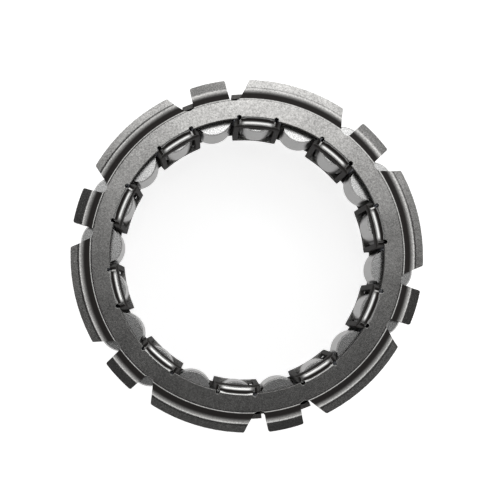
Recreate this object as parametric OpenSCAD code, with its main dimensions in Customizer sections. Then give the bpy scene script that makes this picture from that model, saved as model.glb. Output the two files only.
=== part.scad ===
// Sprag starter clutch: two pressed cages, a ribbon spring and a ring of sprags.
// The clutch axis is Z. The tabbed face looks along +Z and the clinched feet
// rest on Z = 0. Angles run anticlockwise from +X, seen from the tabbed face.

/* [Races] */
// Diameter of the hub that the sprags grip
hub_d = 50; // [44:0.5:60]

/* [Sprags] */
// Number of sprags, two for each window frame
sprag_count = 20; // [16:2:24]
// Pitch of the sprags along their middle circle, in race gaps
spacing_ratio = 1.1; // [1.08:0.01:1.2]
// Length of a sprag along the axis
sprag_len = 12; // [9:0.5:18]
// How much larger the radius of the cam faces is than half the race gap
cam_lift = 0.285; // [0.15:0.005:0.4]
// Sideways offset of each cam centre from the middle of the sprag
cam_offset = 0.3; // [0.15:0.05:0.4]
// Width of a sprag across its waist
waist_w = 5.2; // [4.6:0.1:5.8]
// Radius of the hollow on each flank of a sprag
waist_r = 2.4; // [2.2:0.1:2.8]
// Chamfer round each end of a sprag
sprag_chamfer = 0.25; // [0.1:0.05:0.4]
// Angle of the first sprag's inner cam
first_sprag = 31.5; // [0:0.5:60]

/* [Front cage] */
// Thickness of the front cage sheet
front_sheet = 0.9; // [0.7:0.05:1.1]
// Radial width of the flat ring, from its inner edge to where the joggle starts
ring_w = 3.9; // [3:0.05:4.8]
// Depth of the joggle, from the flat ring back to the tabs
joggle_step = 2.1; // [1:0.05:2.6]
// Radial run of the joggle's sloping wall
joggle_run = 2.3; // [1.4:0.05:2.8]
// Fillet at the foot of the joggle
joggle_fillet = 1.1; // [0.5:0.05:1.4]
// Radius of the bend at the top of the joggle
joggle_bend_r = 0.7; // [0.4:0.05:1]
// How far the flat ring reaches in past the line where the frames bend off
ring_lip = 0.4; // [0.2:0.05:0.6]
// Chamfer along the flat ring's inner edge
ring_chamfer = 0.12; // [0.05:0.01:0.2]

/* [Tabs] */
// Number of long tabs, with a short tab after each
tab_pairs = 6; // [4:1:6]
// Radial length of the long tabs, joggle included
long_tab_len = 4.1; // [3.2:0.05:5]
// Radial length of the short tabs, joggle included
short_tab_len = 4.25; // [3.2:0.05:5]
// Half the angle of a long tab at its tip
long_tip_angle = 16.1; // [12:0.1:17]
// Half the angle of a long tab at its root
long_root_angle = 19.8; // [17.5:0.1:20]
// Half the angle of a short tab at its tip
short_tip_angle = 5.85; // [4:0.05:6.5]
// Half the angle of a short tab at its root
short_root_angle = 6.7; // [5:0.1:7]
// Angle of the first long tab
first_long_tab = 13; // [0:0.5:59.5]
// How far the short tabs are bent back
short_tab_tilt = 7; // [0:1:8]
// Width of the bottom of the notches
notch_w = 0.6; // [0.4:0.05:0.9]
// Rounding of the tabs' corners, seen from the front
tab_corner_r = 0.4; // [0.2:0.05:0.8]

/* [Window frames] */
// Gap between the hub and the lower end of the frames
frame_gap = 0.17; // [0.1:0.01:0.4]
// Angle by which a frame leans in towards the hub
frame_lean = 2; // [1:0.1:2.2]
// Inside radius of the bend at the ring
frame_bend_r = 1; // [0.4:0.05:1.2]
// Inside radius of the bend at the clinched foot
foot_bend_r = 0.2; // [0.15:0.05:0.4]
// Radial length of the feet, folded out under the outer cage
foot_len = 3.23; // [2.4:0.01:4.5]
// Gap between each leg of a frame and the sprags beside it
leg_gap = 0.24; // [0.15:0.01:0.4]
// Half the angle of the neck where a frame joins the ring
neck_angle = 7; // [6:0.1:7.4]
// Radius of the round shoulders of a frame
shoulder_r = 1.7; // [1.55:0.05:2]
// Diameter of the relief notches beside each neck
relief_d = 0.9; // [0.6:0.05:1.1]

/* [Outer cage] */
// Thickness of the outer cage sheet
outer_sheet = 0.9; // [0.7:0.05:1]
// Gap between the fingers and the housing race
housing_gap = 0.83; // [0.5:0.01:1.1]
// Gap between each finger and the sprags beside it
finger_gap = 0.32; // [0.2:0.01:0.6]
// Outside radius of the bend between back ring and fingers
outer_bend_r = 1.4; // [1.2:0.1:1.8]

/* [Ribbon spring] */
// Thickness of the spring strip
strip_t = 0.25; // [0.2:0.05:0.3]
// Axial width of the two rails that run past the sprags' ends
rail_w = 0.6; // [0.4:0.05:0.8]
// Gap between a bowed crossbar and the waists beside it
bow_gap = 0.56; // [0.3:0.01:0.9]
// Distance of the bows' centres outside the rails
bow_lift = 0.25; // [0.15:0.05:0.35]

/* [Fits] */
// Gap between faces that seat on each other
seat_gap = 0.05; // [0.02:0.01:0.1]
// Running gap past the ends of sprags and spring rails
run_gap = 0.1; // [0.05:0.01:0.2]
// Gap between a sprag's end and the front cage, and round its window
end_play = 0.2; // [0.15:0.05:0.3]

/* [Hidden] */
$fn = 96;
small_fn = 32;
eps = 0.01;
// How far cutting shapes run past what they cut
cut_margin = 2;

// Sprag ring, filled with sprags all round
pitch = 360 / sprag_count;
hub_r = hub_d / 2;
race_gap = PI * hub_d / (sprag_count * spacing_ratio - PI);
housing_r = hub_r + race_gap;
mid_r = (hub_r + housing_r) / 2;
cam_r = race_gap / 2 + cam_lift;
cam_angle = asin(cam_offset / mid_r);

// Heights, stacked from the clinched feet up to the flat ring
back_z = front_sheet + seat_gap;
rail_z = back_z + outer_sheet + run_gap;
sprag_z = rail_z + rail_w + run_gap;
sprag_top = sprag_z + sprag_len;
front_rail_z = sprag_top + run_gap;
front_rail_top = front_rail_z + rail_w;
tab_z = sprag_top + end_play;
ring_z = tab_z + joggle_step;
top_z = ring_z + front_sheet;

// Window frames
frame_pitch = 2 * pitch;
foot_bend_z = front_sheet + foot_bend_r;
front_bend_z = ring_z - frame_bend_r;
frame_foot_r = hub_r + frame_gap;
frame_in_r = frame_foot_r + (front_bend_z - foot_bend_z) * tan(frame_lean);
frame_out_r = frame_in_r + front_sheet;
bend_start_r = frame_out_r + frame_bend_r;
ring_in_r = bend_start_r - ring_lip;
front_bend_c = [bend_start_r, front_bend_z];
foot_bend_c = [frame_foot_r + front_sheet + foot_bend_r, foot_bend_z];
foot_out_r = frame_foot_r + foot_len;
bend_lap = 1;
bend_cutback = 0.06;
leg_w = sprag_space(frame_out_r) - 2 * leg_gap;
leg_half_angle = asin(leg_w / 2 / frame_in_r);
frame_half_angle = pitch / 2 + leg_half_angle;
window_half_angle = pitch / 2 - leg_half_angle;
window_z = sprag_z - end_play;
window_top = sprag_top + end_play;
shoulder_rise = 0.7;
foot_shoulder_rise = 0.25;
relief_bite = 0.1;
relief_r = bend_start_r - relief_bite;
relief_angle = neck_angle + asin((relief_d / 2 - relief_bite) / relief_r);

// Flat ring and tabs
ring_out_r = ring_in_r + ring_w;
joggle_out_r = ring_out_r + joggle_run;
joggle_angle = atan(joggle_step / joggle_run);
long_tab_r = ring_out_r + long_tab_len;
short_tab_r = ring_out_r + short_tab_len;
blank_r = max(long_tab_r, short_tab_r) + 1;
cut_r = blank_r + cut_margin;
notch_r = ring_out_r - joggle_bend_r * tan(joggle_angle / 2);
tab_pitch = 360 / tab_pairs;
joggle_lead = 0.9;
flank_reach = 1.6;
tip_inset = 2;
root_gap = tab_pitch / 2 - long_root_angle - short_root_angle;
notch_angle = asin(notch_w / 2 / notch_r);
long_base_angle = long_root_angle + root_gap / 2 - notch_angle;
short_base_angle = short_root_angle + root_gap / 2 - notch_angle;

// Outer cage
finger_out_r = housing_r - housing_gap;
finger_in_r = finger_out_r - outer_sheet;
finger_w = sprag_space(finger_in_r) - 2 * finger_gap;
back_in_r = foot_bend_c[0] + seat_gap;
sill_z = sprag_z - end_play;
finger_top = tab_z - seat_gap;
finger_shift = -2 * cam_angle;

// Ribbon spring
bow_r = mid_r * sin(pitch / 2) - waist_w / 2 - bow_gap;

SPRAGS = [for (i = [1 : sprag_count]) str("sprag_", i < 10 ? "0" : "", i)];

steel_dark = [0.36, 0.35, 0.34];
steel_mid = [0.45, 0.44, 0.43];
steel_spring = [0.30, 0.31, 0.34];
steel_bright = [0.72, 0.72, 0.72];

// Free width between two neighbouring sprags at radius r
function sprag_space(r) =
    2 * r * sin(pitch / 2) - 2 * sqrt(pow(cam_r, 2) - pow(abs(r - mid_r) + cam_lift, 2));

// Point at radius r and angle a
function polar(r, a) = [r * cos(a), r * sin(a)];

// Points of an arc about c, from angle a0 to a1
function arc(c, r, a0, a1, steps = 6) =
    [for (i = [0 : steps]) c + polar(r, a0 + (a1 - a0) * i / steps)];

// Arc of radius r that rounds the corner p between its neighbours a and b
function round_corner(a, p, b, r, steps = 4) =
    let (u = (a - p) / norm(a - p), v = (b - p) / norm(b - p),
         half = acos(u * v) / 2,
         c = p + (u + v) / norm(u + v) * r / sin(half),
         start = p + u * r / tan(half) - c, end = p + v * r / tan(half) - c,
         a0 = atan2(start[1], start[0]), turn = atan2(end[1], end[0]) - a0,
         sweep = turn > 180 ? turn - 360 : turn < -180 ? turn + 360 : turn)
    arc(c, r, a0, a0 + sweep, steps);

// Outline of one tab: notch flanks that run on into the flat ring, sides, and a tip
// with rounded corners
function tab_points(mid, base, root, tip, tip_r) =
    let (near = tip - tip_inset,
         p0 = polar(ring_out_r, mid - root), p1 = polar(tip_r, mid - tip),
         p2 = polar(tip_r, mid + tip), p3 = polar(ring_out_r, mid + root))
    concat([p0 + flank_reach * (polar(notch_r, mid - base) - p0)],
           [p0],
           round_corner(p0, p1, polar(tip_r, mid - near), tab_corner_r),
           arc([0, 0], tip_r, mid - near, mid + near, 8),
           round_corner(polar(tip_r, mid + near), p2, p3, tab_corner_r),
           [p3],
           [p3 + flank_reach * (polar(notch_r, mid + base) - p3)]);

// Section of the flat ring, the joggle and a tab that is bent back by tilt
module tab_section(tilt) {
    fold = front_sheet * tan(joggle_angle / 2);
    drop = (blank_r - joggle_out_r) * tan(tilt);
    in_r = ring_out_r - joggle_lead;
    tab_top = tab_z + front_sheet;
    front_edge = round_corner([in_r, top_z], [ring_out_r, top_z], [joggle_out_r, tab_top], joggle_bend_r);
    front_fillet = round_corner([ring_out_r, top_z], [joggle_out_r, tab_top],
                                [blank_r, tab_top - drop], joggle_fillet);
    polygon(concat([[in_r, ring_z], [in_r, top_z]], front_edge, front_fillet,
                   [[blank_r, tab_top - drop], [blank_r, tab_z - drop],
                    [joggle_out_r - fold, tab_z], [ring_out_r - fold, ring_z]]));
}

// One joggled tab, centred on the angle mid
module tab(mid, base, root, tip, tip_r, tilt) {
    intersection() {
        rotate_extrude() tab_section(tilt);
        translate([0, 0, tab_z - cut_margin])
            linear_extrude(height = top_z - tab_z + 2 * cut_margin)
            polygon(tab_points(mid, base, root, tip, tip_r));
    }
}

// Sector of a disc of radius r, from its centre out, a degrees to each side of +X
module sector(r, a) {
    intersection() {
        circle(r = r);
        polygon([[0, 0], 2 * polar(r, -a), 2 * polar(r, a)]);
    }
}

// Flat ring of the front pressing, inside the notches between the tabs, cut back to
// just past the bend line where each frame joins it
module flat_ring() {
    difference() {
        rotate_extrude() polygon([[ring_in_r, ring_z], [notch_r, ring_z], [notch_r, top_z],
                                  [ring_in_r + ring_chamfer, top_z],
                                  [ring_in_r, top_z - ring_chamfer]]);
        for (k = [0 : sprag_count / 2 - 1])
            rotate(first_sprag + pitch + k * frame_pitch)
                translate([0, 0, ring_z - cut_margin])
                    linear_extrude(height = front_sheet + 2 * cut_margin)
                        sector(bend_start_r + bend_cutback, relief_angle);
    }
}

// Flat ring with its joggled tabs, before the frames are added
module tabbed_ring() {
    flat_ring();
    for (k = [0 : tab_pairs - 1]) {
        long_mid = first_long_tab + k * tab_pitch;
        tab(long_mid, long_base_angle, long_root_angle, long_tip_angle, long_tab_r, 0);
        tab(long_mid + tab_pitch / 2, short_base_angle, short_root_angle, short_tip_angle,
            short_tab_r, short_tab_tilt);
    }
}

// Side view of a window frame: front bend, leaning wall and clinched foot
module frame_section() {
    bend_out = front_sheet + frame_bend_r;
    foot_out = front_sheet + foot_bend_r;
    lean_end = 180 - frame_lean;
    polygon(concat(
        [[bend_start_r + bend_lap, top_z]],
        arc(front_bend_c, bend_out, 90, lean_end),
        arc(foot_bend_c, foot_out, lean_end, 270),
        [[foot_out_r, 0], [foot_out_r, front_sheet]],
        arc(foot_bend_c, foot_bend_r, 270, lean_end),
        arc(front_bend_c, frame_bend_r, lean_end, 90),
        [[bend_start_r + bend_lap, ring_z]]));
}

// Cuts one outer corner of a frame to a round shoulder, at height z
module shoulder_cut(z, up) {
    reach = window_z + cut_margin;
    depth = foot_out_r - frame_foot_r + 2 * cut_margin;
    rotate(neck_angle) translate([frame_foot_r - cut_margin, 0, z]) difference() {
        translate([0, 0, up ? 0 : -reach]) cube([depth, reach, reach]);
        rotate([0, 90, 0]) cylinder(r = shoulder_r, h = depth, $fn = small_fn);
    }
}

// Bent strips of all window frames: one turned wall, cut into sectors
module frame_strips() {
    near = frame_foot_r - 2 * cut_margin;
    intersection() {
        rotate_extrude() frame_section();
        for (k = [0 : sprag_count / 2 - 1])
            rotate(first_sprag + pitch + k * frame_pitch) translate([0, 0, -cut_margin])
                linear_extrude(height = top_z + 2 * cut_margin)
                polygon([polar(near, -frame_half_angle), polar(cut_r, -frame_half_angle),
                         polar(cut_r, frame_half_angle), polar(near, frame_half_angle)]);
    }
}

// All window frames, each with its window and round shoulders
module window_frames() {
    difference() {
        frame_strips();
        for (k = [0 : sprag_count / 2 - 1]) rotate(first_sprag + pitch + k * frame_pitch) {
            translate([0, 0, window_z]) linear_extrude(height = window_top - window_z)
                polygon([[0, 0], polar(cut_r, -window_half_angle),
                         polar(cut_r, window_half_angle)]);
            for (side = [0, 1]) mirror([0, side, 0]) {
                shoulder_cut(window_top + shoulder_rise, true);
                shoulder_cut(window_z + foot_shoulder_rise, false);
            }
        }
    }
}

// Front pressing: flat ring, joggled tabs and bent window frames in one sheet
module front_cage() {
    color(steel_dark) difference() {
        union() {
            tabbed_ring();
            window_frames();
        }
        for (k = [0 : sprag_count / 2 - 1], side = [-1, 1])
            rotate(first_sprag + pitch + k * frame_pitch + side * relief_angle)
                translate([relief_r, 0, tab_z])
                    cylinder(d = relief_d, h = top_z + eps - tab_z, $fn = small_fn);
    }
}

// Section of the outer cage: back ring, rounded corner and finger
module outer_section() {
    bend_c = [finger_out_r - outer_bend_r, back_z + outer_bend_r];
    polygon(concat(
        [[back_in_r, back_z]],
        arc(bend_c, outer_bend_r, 270, 360),
        [[finger_out_r, finger_top], [finger_in_r, finger_top]],
        arc(bend_c, outer_bend_r - outer_sheet, 360, 270),
        [[back_in_r, back_z + outer_sheet]]));
}

// Drawn cup whose wall is cut into one finger between each pair of sprags
module outer_cage() {
    finger_half = asin(finger_w / 2 / finger_in_r);
    slot_half = pitch / 2 - finger_half;
    color(steel_mid) difference() {
        rotate_extrude() outer_section();
        for (i = [0 : sprag_count - 1])
            rotate(first_sprag + finger_shift + i * pitch)
                translate([0, 0, sill_z]) linear_extrude(height = top_z - sill_z)
                    polygon([[0, 0], polar(cut_r, -slot_half), polar(cut_r, slot_half)]);
    }
}

// Bowed crossbar of the ribbon spring, standing between two sprags at angle 0
module crossbar() {
    height = front_rail_top - rail_z;
    translate([mid_r + bow_lift, 0, rail_z]) difference() {
        cylinder(r = bow_r, h = height, $fn = small_fn);
        translate([0, 0, -eps])
            cylinder(r = bow_r - strip_t, h = height + 2 * eps, $fn = small_fn);
        translate([strip_t, -bow_r - eps, -eps])
            cube([bow_r, 2 * bow_r + 2 * eps, height + 2 * eps]);
    }
}

// Rail of the ribbon spring, a thin band past the sprags' ends
module rail(z) {
    translate([0, 0, z]) difference() {
        cylinder(r = mid_r + strip_t / 2, h = rail_w);
        translate([0, 0, -eps]) cylinder(r = mid_r - strip_t / 2, h = rail_w + 2 * eps);
    }
}

// Energising spring: two rails joined by a bowed crossbar between all sprags
module ribbon_spring() {
    color(steel_spring) {
        rail(rail_z);
        rail(front_rail_z);
        for (i = [0 : sprag_count - 1])
            rotate(first_sprag - cam_angle + (i + 0.5) * pitch) crossbar();
    }
}

// Round bar with chamfered ends, for one cam of a sprag
module cam_bar() {
    c = sprag_chamfer;
    cylinder(r1 = cam_r - c, r2 = cam_r, h = c);
    translate([0, 0, c]) cylinder(r = cam_r, h = sprag_len - 2 * c);
    translate([0, 0, sprag_len - c]) cylinder(r1 = cam_r, r2 = cam_r - c, h = c);
}

// One sprag about its own middle, with its outer cam towards +X
module sprag_body() {
    difference() {
        intersection() {
            translate([cam_lift, cam_offset, 0]) cam_bar();
            translate([-cam_lift, -cam_offset, 0]) cam_bar();
        }
        for (side = [-1, 1])
            translate([0, side * (waist_w / 2 + waist_r), -eps])
                cylinder(r = waist_r, h = sprag_len + 2 * eps);
    }
}

// The sprag with the given number, in its place in the ring
module sprag(number) {
    color(steel_bright)
        rotate(first_sprag - cam_angle + (number - 1) * pitch)
            translate([mid_r, 0, sprag_z]) sprag_body();
}

front_cage();
outer_cage();
ribbon_spring();
for (i = [1 : sprag_count])
    sprag(i);
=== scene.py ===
import math

import bpy
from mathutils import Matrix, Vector


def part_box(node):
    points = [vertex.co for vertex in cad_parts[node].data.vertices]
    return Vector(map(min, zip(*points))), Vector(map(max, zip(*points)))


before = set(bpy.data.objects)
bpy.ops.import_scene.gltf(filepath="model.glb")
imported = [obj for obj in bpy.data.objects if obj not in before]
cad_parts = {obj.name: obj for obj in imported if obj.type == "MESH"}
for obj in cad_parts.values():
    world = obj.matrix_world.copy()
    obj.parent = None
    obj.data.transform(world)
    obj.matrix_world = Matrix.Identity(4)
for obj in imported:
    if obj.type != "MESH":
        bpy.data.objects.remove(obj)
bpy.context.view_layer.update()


# Camera
# The clutch lies on its back on white card. The camera looks straight down on the
# tabbed face from 26 cm, a little to the lower left of the axis.
MM = 0.001
FACE_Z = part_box("front_cage")[1].z
CAMERA_RISE = 260 * MM
CAMERA_ASIDE = 17 * MM
CAMERA_BEARING = math.radians(232.7)
CAMERA_LENS = 94.6
CAMERA_CLIP = (0.01, 10)
SENSOR = 36
RING_CENTRE_PX = (247.17, 255.82)
PICTURE_PX = 500

camera_data = bpy.data.cameras.new("camera")
camera_data.lens = CAMERA_LENS
camera_data.sensor_width = SENSOR
camera_data.clip_start, camera_data.clip_end = CAMERA_CLIP
camera = bpy.data.objects.new("camera", camera_data)
bpy.context.scene.collection.objects.link(camera)
camera.location = (
    CAMERA_ASIDE * math.cos(CAMERA_BEARING),
    CAMERA_ASIDE * math.sin(CAMERA_BEARING),
    FACE_Z + CAMERA_RISE,
)
frame_widths = CAMERA_LENS / SENSOR / CAMERA_RISE
camera_data.shift_x = 0.5 - RING_CENTRE_PX[0] / PICTURE_PX - camera.location.x * frame_widths
camera_data.shift_y = RING_CENTRE_PX[1] / PICTURE_PX - 0.5 - camera.location.y * frame_widths
bpy.context.scene.camera = camera
bpy.context.scene.view_settings.view_transform = "Standard"


# Studio light
# A soft lamp behind the camera, towards the top of the picture. Round it lie a pale
# horizon, a brighter belt above that, and a broad window beyond the top of the picture.
LAMP_ACROSS = math.radians(3)
LAMP_TILT = math.radians(14)
LAMP_SPREAD = math.radians(5.2)
LAMP_LIGHT = 3.1
DARK_LIGHT = 0.06
HORIZON_LIGHT = 0.8
BELT_LIGHT = 1.4
SKY = ((0.0, HORIZON_LIGHT), (0.14, HORIZON_LIGHT), (0.28, BELT_LIGHT), (0.62, BELT_LIGHT),
       (0.74, DARK_LIGHT))
WINDOW_BEARING = math.radians(68)
WINDOW_REACH = (0.25, 0.75)
WINDOW_LIGHT = 1.6


def math_node(tree, operation, *values):
    """Adds a Math node and feeds it with sockets or plain numbers."""
    node = tree.nodes.new("ShaderNodeMath")
    node.operation = operation
    for socket, value in zip(node.inputs, values):
        if isinstance(value, bpy.types.NodeSocket):
            tree.links.new(value, socket)
        else:
            socket.default_value = value
    return node.outputs[0]


def ease_between(tree, value, low, high, out_low=0.0, out_high=1.0):
    """A smooth step of a value from low to high."""
    ease = tree.nodes.new("ShaderNodeMapRange")
    ease.interpolation_type = "SMOOTHSTEP"
    tree.links.new(value, ease.inputs["Value"])
    ease.inputs["From Min"].default_value = low
    ease.inputs["From Max"].default_value = high
    ease.inputs["To Min"].default_value = out_low
    ease.inputs["To Max"].default_value = out_high
    return ease.outputs[0]


def towards(tree, coord, direction):
    """How far a ray points in one direction, from -1 to 1."""
    dot = tree.nodes.new("ShaderNodeVectorMath")
    dot.operation = "DOT_PRODUCT"
    tree.links.new(coord.outputs["Generated"], dot.inputs[0])
    dot.inputs[1].default_value = direction
    return dot.outputs["Value"]


def studio_world():
    """The sky by height, the window by bearing, and the lamp by the angle from its middle."""
    world = bpy.data.worlds.new("studio")
    world.use_nodes = True
    tree = world.node_tree
    coord = tree.nodes.new("ShaderNodeTexCoord")
    split = tree.nodes.new("ShaderNodeSeparateXYZ")
    tree.links.new(coord.outputs["Generated"], split.inputs[0])
    sky = tree.nodes.new("ShaderNodeValToRGB")
    while len(sky.color_ramp.elements) < len(SKY):
        sky.color_ramp.elements.new(0.5)
    for element, (height, level) in zip(sky.color_ramp.elements, SKY):
        element.position = height
        element.color = (level, level, level, 1)
    tree.links.new(split.outputs["Z"], sky.inputs["Fac"])
    lamp_at = Vector((math.tan(LAMP_ACROSS), math.tan(LAMP_TILT), 1)).normalized()
    away = math_node(tree, "SUBTRACT", towards(tree, coord, lamp_at), 1)
    fall = math_node(tree, "MULTIPLY", away, 1 / LAMP_SPREAD ** 2)
    lamp = math_node(tree, "MULTIPLY", math_node(tree, "EXPONENT", fall), LAMP_LIGHT)
    beyond = towards(tree, coord, (math.cos(WINDOW_BEARING), math.sin(WINDOW_BEARING), 0))
    window = ease_between(tree, beyond, *WINDOW_REACH, 0, WINDOW_LIGHT)
    above = math_node(tree, "GREATER_THAN", split.outputs["Z"], 0)
    window = math_node(tree, "MULTIPLY", window, above)
    around = math_node(tree, "MAXIMUM", sky.outputs["Color"], window)
    light = tree.nodes["Background"]
    tree.links.new(math_node(tree, "ADD", around, lamp), light.inputs["Strength"])
    light.inputs["Color"].default_value = (1, 1, 1, 1)
    return world


bpy.context.scene.world = studio_world()


# Card
# The sheet of white card under the clutch, wide enough to fill a low view. What the
# camera and the metal see of it is its own white, and the clutch still throws its soft
# shadow on it.
CARD_HALF = 12
CARD_COLOUR = (0.8, 0.8, 0.8, 1)
CARD_WHITE = 0.71


def white_card():
    mat = bpy.data.materials.new("white_card")
    mat.use_nodes = True
    tree = mat.node_tree
    tree.nodes.clear()
    card = tree.nodes.new("ShaderNodeBsdfDiffuse")
    card.inputs["Color"].default_value = CARD_COLOUR
    path = tree.nodes.new("ShaderNodeLightPath")
    seen = math_node(tree, "MAXIMUM", path.outputs["Is Camera Ray"],
                     path.outputs["Is Glossy Ray"])
    seen = math_node(tree, "MAXIMUM", seen, path.outputs["Is Transmission Ray"])
    white = tree.nodes.new("ShaderNodeEmission")
    tree.links.new(math_node(tree, "MULTIPLY", seen, CARD_WHITE), white.inputs["Strength"])
    both = tree.nodes.new("ShaderNodeAddShader")
    tree.links.new(card.outputs[0], both.inputs[0])
    tree.links.new(white.outputs[0], both.inputs[1])
    out = tree.nodes.new("ShaderNodeOutputMaterial")
    tree.links.new(both.outputs[0], out.inputs["Surface"])
    return mat


card_mesh = bpy.data.meshes.new("card")
card_mesh.from_pydata(
    [(x * CARD_HALF, y * CARD_HALF, 0) for x, y in ((-1, -1), (1, -1), (1, 1), (-1, 1))],
    [], [(0, 1, 2, 3)])
card = bpy.data.objects.new("card", card_mesh)
card.data.materials.append(white_card())
bpy.context.scene.collection.objects.link(card)


# Front cage
# One pressing of 0.9 mm steel strip, joggled, bent, hardened and tumbled. Tumbling gives
# its flats, outer bends and outer edges a grey grain. Its walls and inner corners are near
# black: the dark skin there, deepened into painted shade. A painted highlight runs along each
# frame's bar.
CAGE_GREY = (0.43, 0.425, 0.415, 1)
# Near black for walls and inner corners: the dark skin a tumbled part keeps there, deepened
# into painted shade.
SKIN_AND_PAINTED_SHADE = (0.014, 0.012, 0.011, 1)
CAGE_GRAIN = 0.30 * MM
CAGE_DENT = 0.003 * MM
CAGE_CONTRAST = 1.6
CAGE_MOTTLE = 0.35
CAGE_ROUGHNESS = 0.2
CAGE_EDGE = 0.12 * MM
EDGE_SAMPLES = 6
PIT_DETAIL = 2
PIT_ROUGHNESS = 0.6
CLOUD_DETAIL = 3
CLOUD_PER_GRAIN = 0.06
# The painted shade's roughness and weak gloss, which keep walls and corners dark.
SHADED_SKIN_ROUGHNESS = 0.65
SHADED_SKIN_GLOSS = 0.09
FLAT_SLOPE = (0.76, 0.90)
OUTWARD_SLOPE = (0.90, 0.97)
# On the joggle, painted shade covers the wall next to the ring and fades out towards the tabs
# between these radii, where the slopes turn grey.
JOGGLE_SLOPE = (0.6, 0.7)
JOGGLE_FADE = (32.2 * MM, 33.5 * MM)
# Each frame's bar gets a painted highlight: a paler grey on a band of its bend, fading towards
# the bar's ends and running a little round the shoulders.
BAR_HIGHLIGHT_GREY = (0.68, 0.68, 0.67, 1)
BAR_REACH = 27.62 * MM
BAR_SLOPE = (0.988, 0.992)
BAR_HIGHLIGHT_BAND = (0.50, 0.66, 0.80, 0.92)
SHOULDER_HIGHLIGHT_SLOPE = (0.975, 0.992)
BAR_PITCH = math.radians(36)
FIRST_BAR = math.radians(49.5)
# Where the bar's painted highlight fades, as an angle from the bar's middle, and how much of
# it is left at the ends.
BAR_HIGHLIGHT_FADE = (math.radians(5.0), math.radians(7.5))
HIGHLIGHT_AT_BAR_END = 0.12
WELD = 0.0005 * MM
FLAT_FACE = 0.9995
SMOOTH_UNDER = math.radians(32)


def add_socket(group, name, direction, kind):
    group.interface.new_socket(name=name, in_out=direction, socket_type=kind)


def grain_group():
    """Fine pits with a broad cloud under them, as a height and a level about 1."""
    group = bpy.data.node_groups.new("tumbled_grain", "ShaderNodeTree")
    for name in ("Grain per metre", "Contrast", "Mottle"):
        add_socket(group, name, "INPUT", "NodeSocketFloat")
    for name in ("Level", "Height"):
        add_socket(group, name, "OUTPUT", "NodeSocketFloat")
    inside = group.nodes.new("NodeGroupInput")
    outside = group.nodes.new("NodeGroupOutput")
    coord = group.nodes.new("ShaderNodeTexCoord")
    pits = group.nodes.new("ShaderNodeTexNoise")
    pits.inputs["Detail"].default_value = PIT_DETAIL
    pits.inputs["Roughness"].default_value = PIT_ROUGHNESS
    group.links.new(coord.outputs["Object"], pits.inputs["Vector"])
    group.links.new(inside.outputs["Grain per metre"], pits.inputs["Scale"])
    clouds = group.nodes.new("ShaderNodeTexNoise")
    clouds.inputs["Detail"].default_value = CLOUD_DETAIL
    group.links.new(coord.outputs["Object"], clouds.inputs["Vector"])
    coarse = math_node(group, "MULTIPLY", inside.outputs["Grain per metre"], CLOUD_PER_GRAIN)
    group.links.new(coarse, clouds.inputs["Scale"])
    pit = math_node(group, "SUBTRACT", pits.outputs["Fac"], 0.5)
    cloud = math_node(group, "SUBTRACT", clouds.outputs["Fac"], 0.5)
    cloud = math_node(group, "MULTIPLY", cloud, inside.outputs["Mottle"])
    swing = math_node(group, "MULTIPLY", math_node(group, "ADD", pit, cloud),
                      inside.outputs["Contrast"])
    group.links.new(math_node(group, "ADD", swing, 1), outside.inputs["Level"])
    group.links.new(pits.outputs["Fac"], outside.inputs["Height"])
    return group


# This mask places the grey metal, the painted shade and the painted highlights by how much a
# surface faces the front.
def facing_group():
    """1 where a surface faces the front or the back more than To, 0 below From."""
    group = bpy.data.node_groups.new("where_it_faces_front", "ShaderNodeTree")
    for name in ("From", "To"):
        add_socket(group, name, "INPUT", "NodeSocketFloat")
    add_socket(group, "Faces_front", "OUTPUT", "NodeSocketFloat")
    inside = group.nodes.new("NodeGroupInput")
    outside = group.nodes.new("NodeGroupOutput")
    surface = group.nodes.new("ShaderNodeNewGeometry")
    split = group.nodes.new("ShaderNodeSeparateXYZ")
    group.links.new(surface.outputs["Normal"], split.inputs[0])
    ease = group.nodes.new("ShaderNodeMapRange")
    ease.interpolation_type = "SMOOTHSTEP"
    group.links.new(math_node(group, "ABSOLUTE", split.outputs["Z"]), ease.inputs["Value"])
    group.links.new(inside.outputs["From"], ease.inputs["From Min"])
    group.links.new(inside.outputs["To"], ease.inputs["From Max"])
    group.links.new(ease.outputs[0], outside.inputs["Faces_front"])
    return group


GRAIN = grain_group()
FACING = facing_group()


def place_group(tree, group, **values):
    """Puts a node group into a material, with its own values."""
    node = tree.nodes.new("ShaderNodeGroup")
    node.node_tree = group
    for name, value in values.items():
        node.inputs[name.replace("_", " ")].default_value = value
    return node


def grain(tree, size, contrast, mottle):
    return place_group(tree, GRAIN, Grain_per_metre=1 / size, Contrast=contrast, Mottle=mottle)


def facing(tree, low, high):
    """How much a surface faces the front or the back, eased from low to high."""
    return place_group(tree, FACING, From=low, To=high).outputs["Faces_front"]


def from_axis(tree):
    """The way from the clutch axis straight out to a point, in metres."""
    coord = tree.nodes.new("ShaderNodeTexCoord")
    flat = tree.nodes.new("ShaderNodeVectorMath")
    flat.operation = "MULTIPLY"
    tree.links.new(coord.outputs["Object"], flat.inputs[0])
    flat.inputs[1].default_value = (1, 1, 0)
    return flat.outputs[0]


def axis_distance(tree):
    """Distance of a point from the clutch axis, in metres."""
    length = tree.nodes.new("ShaderNodeVectorMath")
    length.operation = "LENGTH"
    tree.links.new(from_axis(tree), length.inputs[0])
    return length.outputs["Value"]


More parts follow.
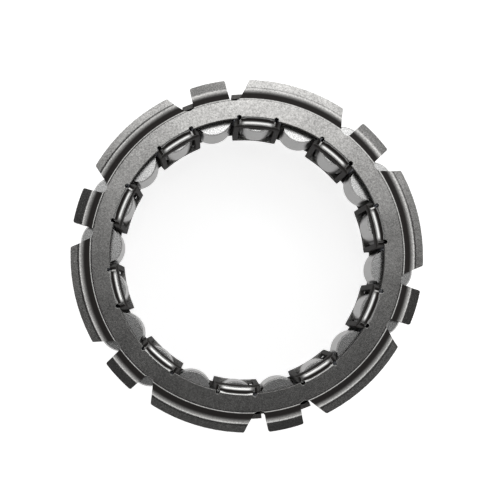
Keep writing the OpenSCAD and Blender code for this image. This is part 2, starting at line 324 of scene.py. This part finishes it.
def facing_out(tree):
    """How much a surface faces straight out from the clutch axis."""
    outward = tree.nodes.new("ShaderNodeVectorMath")
    outward.operation = "NORMALIZE"
    tree.links.new(from_axis(tree), outward.inputs[0])
    surface = tree.nodes.new("ShaderNodeNewGeometry")
    along = tree.nodes.new("ShaderNodeVectorMath")
    along.operation = "DOT_PRODUCT"
    tree.links.new(outward.outputs[0], along.inputs[0])
    tree.links.new(surface.outputs["Normal"], along.inputs[1])
    return ease_between(tree, along.outputs["Value"], *OUTWARD_SLOPE)


def from_bar_middle(tree):
    """Angle of a point about the axis from the middle of the nearest frame's bar."""
    coord = tree.nodes.new("ShaderNodeTexCoord")
    split = tree.nodes.new("ShaderNodeSeparateXYZ")
    tree.links.new(coord.outputs["Object"], split.inputs[0])
    bearing = math_node(tree, "ARCTAN2", split.outputs["Y"], split.outputs["X"])
    turn = math_node(tree, "SUBTRACT", bearing, FIRST_BAR)
    near = math_node(tree, "WRAP", turn, BAR_PITCH / 2, -BAR_PITCH / 2)
    return math_node(tree, "ABSOLUTE", near)


def mix_colours(tree, factor, first, second):
    """Blends two colours, given as sockets or plain values, by a factor."""
    mix = tree.nodes.new("ShaderNodeMix")
    mix.data_type = "RGBA"
    tree.links.new(factor, mix.inputs["Factor"])
    for socket, value in ((mix.inputs["A"], first), (mix.inputs["B"], second)):
        if isinstance(value, bpy.types.NodeSocket):
            tree.links.new(value, socket)
        else:
            socket.default_value = value
    return mix.outputs["Result"]


def times_level(tree, colour, level):
    """A plain colour made lighter and darker by a level about 1."""
    scale = tree.nodes.new("ShaderNodeVectorMath")
    scale.operation = "SCALE"
    scale.inputs[0].default_value = colour[:3]
    tree.links.new(level, scale.inputs["Scale"])
    return scale.outputs[0]


def soft_bumps(tree, height, dent, edge):
    """The normal of pitted metal whose edges are broken by tumbling."""
    bump = tree.nodes.new("ShaderNodeBump")
    bump.inputs["Distance"].default_value = dent
    tree.links.new(height, bump.inputs["Height"])
    soft_edge = tree.nodes.new("ShaderNodeBevel")
    soft_edge.samples = EDGE_SAMPLES
    soft_edge.inputs["Radius"].default_value = edge
    tree.links.new(soft_edge.outputs[0], bump.inputs["Normal"])
    return bump.outputs["Normal"]


def new_steel(name):
    """A material with its node tree and its shader."""
    mat = bpy.data.materials.new(name)
    mat.use_nodes = True
    return mat, mat.node_tree, mat.node_tree.nodes["Principled BSDF"]


def grey_over_painted_shade(tree, steel, texture, bare_not_shaded, light, roughness):
    """Bare metal of one colour where the mask is 1, and elsewhere the near black skin,
    deepened into painted shade.
    """
    steel.inputs["Specular IOR Level"].default_value = SHADED_SKIN_GLOSS
    tree.links.new(mix_colours(tree, bare_not_shaded, SKIN_AND_PAINTED_SHADE, light), steel.inputs["Base Color"])
    tree.links.new(bare_not_shaded, steel.inputs["Metallic"])
    tree.links.new(ease_between(tree, bare_not_shaded, 0, 1, SHADED_SKIN_ROUGHNESS, roughness),
                   steel.inputs["Roughness"])
    tree.links.new(soft_bumps(tree, texture.outputs["Height"], CAGE_DENT, CAGE_EDGE),
                   steel.inputs["Normal"])


def tumbled_pressing_painted_light():
    """Grey grain on the flats, a painted highlight along the bars, painted shade elsewhere."""
    mat, tree, steel = new_steel("tumbled_pressing_painted_light")
    texture = grain(tree, CAGE_GRAIN, CAGE_CONTRAST, CAGE_MOTTLE)
    distance = axis_distance(tree)
    # Painted shade on the joggle's wall, giving way to grey towards the tabs.
    fade = ease_between(tree, distance, *JOGGLE_FADE)
    slope = math_node(tree, "MULTIPLY", fade, facing(tree, *JOGGLE_SLOPE))
    outside = math_node(tree, "MAXIMUM", facing(tree, *FLAT_SLOPE), slope)
    outside = math_node(tree, "MAXIMUM", outside, facing_out(tree))
    turned = math_node(tree, "SUBTRACT", 1, facing(tree, *BAR_SLOPE))
    on_bar = math_node(tree, "MULTIPLY", turned,
                       math_node(tree, "LESS_THAN", distance, BAR_REACH))
    off_bar = math_node(tree, "SUBTRACT", 1, on_bar)
    # The painted highlight: a pale band along each bar's bend, strongest at the bar's middle.
    line = math_node(tree, "MULTIPLY", facing(tree, *BAR_HIGHLIGHT_BAND[:2]),
                     math_node(tree, "SUBTRACT", 1, facing(tree, *BAR_HIGHLIGHT_BAND[2:])))
    highlight_fade = ease_between(tree, from_bar_middle(tree), *BAR_HIGHLIGHT_FADE, 1, HIGHLIGHT_AT_BAR_END)
    line = math_node(tree, "MAXIMUM", math_node(tree, "MULTIPLY", line, highlight_fade),
                     facing(tree, *SHOULDER_HIGHLIGHT_SLOPE))
    line = math_node(tree, "MULTIPLY", line, on_bar)
    # Grey on flats, outward faces and the bars' painted highlight; painted shade everywhere
    # else.
    bare_not_shaded = math_node(tree, "MULTIPLY_ADD", outside, off_bar, line)
    # The bars take the paler grey of their painted highlight.
    grey = times_level(tree, CAGE_GREY, texture.outputs["Level"])
    light = mix_colours(tree, on_bar, grey, BAR_HIGHLIGHT_GREY)
    grey_over_painted_shade(tree, steel, texture, bare_not_shaded, light, CAGE_ROUGHNESS)
    return mat


def round_bends():
    """Geometry nodes that shade the facets of a bend as one round surface, and leave
    the flats flat."""
    group = bpy.data.node_groups.new("round_bends", "GeometryNodeTree")
    add_socket(group, "Geometry", "INPUT", "NodeSocketGeometry")
    add_socket(group, "Geometry", "OUTPUT", "NodeSocketGeometry")
    inside = group.nodes.new("NodeGroupInput")
    outside = group.nodes.new("NodeGroupOutput")
    weld = group.nodes.new("GeometryNodeMergeByDistance")
    weld.inputs["Distance"].default_value = WELD
    bare = group.nodes.new("GeometryNodeRemoveAttribute")
    bare.inputs["Name"].default_value = "custom_normal"
    faces = group.nodes.new("GeometryNodeSetShadeSmooth")
    faces.domain = "FACE"
    flats = group.nodes.new("GeometryNodeSetShadeSmooth")
    flats.domain = "FACE"
    flats.inputs["Shade Smooth"].default_value = False
    edges = group.nodes.new("GeometryNodeSetShadeSmooth")
    edges.domain = "EDGE"
    edges.inputs["Shade Smooth"].default_value = False
    steps = (inside, weld, bare, faces, flats, edges, outside)
    for before, after in zip(steps, steps[1:]):
        group.links.new(before.outputs["Geometry"], after.inputs["Geometry"])
    normal = group.nodes.new("GeometryNodeInputNormal")
    split = group.nodes.new("ShaderNodeSeparateXYZ")
    group.links.new(normal.outputs["Normal"], split.inputs[0])
    upright = math_node(group, "ABSOLUTE", split.outputs["Z"])
    level = math_node(group, "GREATER_THAN", upright, FLAT_FACE)
    group.links.new(level, flats.inputs["Selection"])
    angle = group.nodes.new("GeometryNodeInputMeshEdgeAngle")
    sharp = math_node(group, "GREATER_THAN", angle.outputs["Unsigned Angle"], SMOOTH_UNDER)
    group.links.new(sharp, edges.inputs["Selection"])
    return group


ROUND_BENDS = round_bends()


def dress(node, material):
    """Gives a CAD node its finish, and smooth shading over its bends."""
    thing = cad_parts[node]
    thing.data.materials.clear()
    thing.data.materials.append(material)
    smooth = thing.modifiers.new("round bends", "NODES")
    smooth.node_group = ROUND_BENDS


dress("front_cage", tumbled_pressing_painted_light())


# Outer cage
# A drawn cup of the same strip, held by the front cage's folded feet. Its fingers stand
# between the sprags, and from the front only their ends show.
CUP_GREY = (0.17, 0.165, 0.16, 1)
CUP_ROUGHNESS = 0.40


def tumbled_cup_painted_shade():
    mat, tree, steel = new_steel("tumbled_cup_painted_shade")
    texture = grain(tree, CAGE_GRAIN, CAGE_CONTRAST, CAGE_MOTTLE)
    # Grey on flats and outward faces, painted shade on the other walls.
    bare_not_shaded = math_node(tree, "MAXIMUM", facing(tree, *FLAT_SLOPE), facing_out(tree))
    grey = times_level(tree, CUP_GREY, texture.outputs["Level"])
    grey_over_painted_shade(tree, steel, texture, bare_not_shaded, grey, CUP_ROUGHNESS)
    return mat


dress("outer_cage", tumbled_cup_painted_shade())


# Ribbon spring
# A strip of thin spring steel, blued by its tempering, with a bowed bar for each sprag.
# It lies in the sprags' waists, inside the fingers, and tips them all together.
STRIP_BLUE = (0.10, 0.11, 0.14, 1)
STRIP_GRAIN = 0.5 * MM
STRIP_CONTRAST = 0.5
STRIP_MOTTLE = 1.5
STRIP_LEVELS = (0.7, 1.3)
STRIP_ROUGHNESS = (0.40, 0.28)


def blued_strip():
    mat, tree, steel = new_steel("blued_strip")
    steel.inputs["Metallic"].default_value = 1.0
    texture = grain(tree, STRIP_GRAIN, STRIP_CONTRAST, STRIP_MOTTLE)
    tree.links.new(times_level(tree, STRIP_BLUE, texture.outputs["Level"]),
                   steel.inputs["Base Color"])
    tree.links.new(
        ease_between(tree, texture.outputs["Level"], *STRIP_LEVELS, *STRIP_ROUGHNESS),
        steel.inputs["Roughness"])
    return mat


dress("ribbon_spring", blued_strip())


# Sprags
# Twenty drawn bars of bearing steel, held upright by the ribbon spring. Their ends are
# pale from grinding, their chamfers half pale, partly from grinding and partly as a painted
# highlight round each end, and the cams and flanks are a darker grey and smoother.
END_GREY = (0.74, 0.74, 0.735, 1)
FLANK_GREY = (0.17, 0.166, 0.162, 1)
END_GRAIN = 0.3 * MM
END_CONTRAST = 1.0
END_MOTTLE = 0.2
END_DENT = 0.006 * MM
END_EDGE = 0.06 * MM
# The chamfers fall inside this slope and come out half pale, partly from grinding and partly
# as a painted highlight round each end.
CHAMFER_SLOPE = (0.60, 0.85)
END_ROUGHNESS = 0.2
FLANK_ROUGHNESS = 0.30


def ground_ends():
    mat, tree, steel = new_steel("ground_sprag_steel")
    steel.inputs["Metallic"].default_value = 1.0
    texture = grain(tree, END_GRAIN, END_CONTRAST, END_MOTTLE)
    # Pale on the end faces, and half pale on the chamfers, partly as a painted highlight.
    ground_and_rim_highlight = facing(tree, *CHAMFER_SLOPE)
    pale = times_level(tree, END_GREY, texture.outputs["Level"])
    drawn = times_level(tree, FLANK_GREY, texture.outputs["Level"])
    tree.links.new(mix_colours(tree, ground_and_rim_highlight, drawn, pale), steel.inputs["Base Color"])
    tree.links.new(ease_between(tree, ground_and_rim_highlight, 0, 1, FLANK_ROUGHNESS, END_ROUGHNESS),
                   steel.inputs["Roughness"])
    tree.links.new(soft_bumps(tree, texture.outputs["Height"], END_DENT, END_EDGE),
                   steel.inputs["Normal"])
    return mat


sprag_finish = ground_ends()
for node_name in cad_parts:
    if node_name.startswith("sprag_"):
        dress(node_name, sprag_finish)
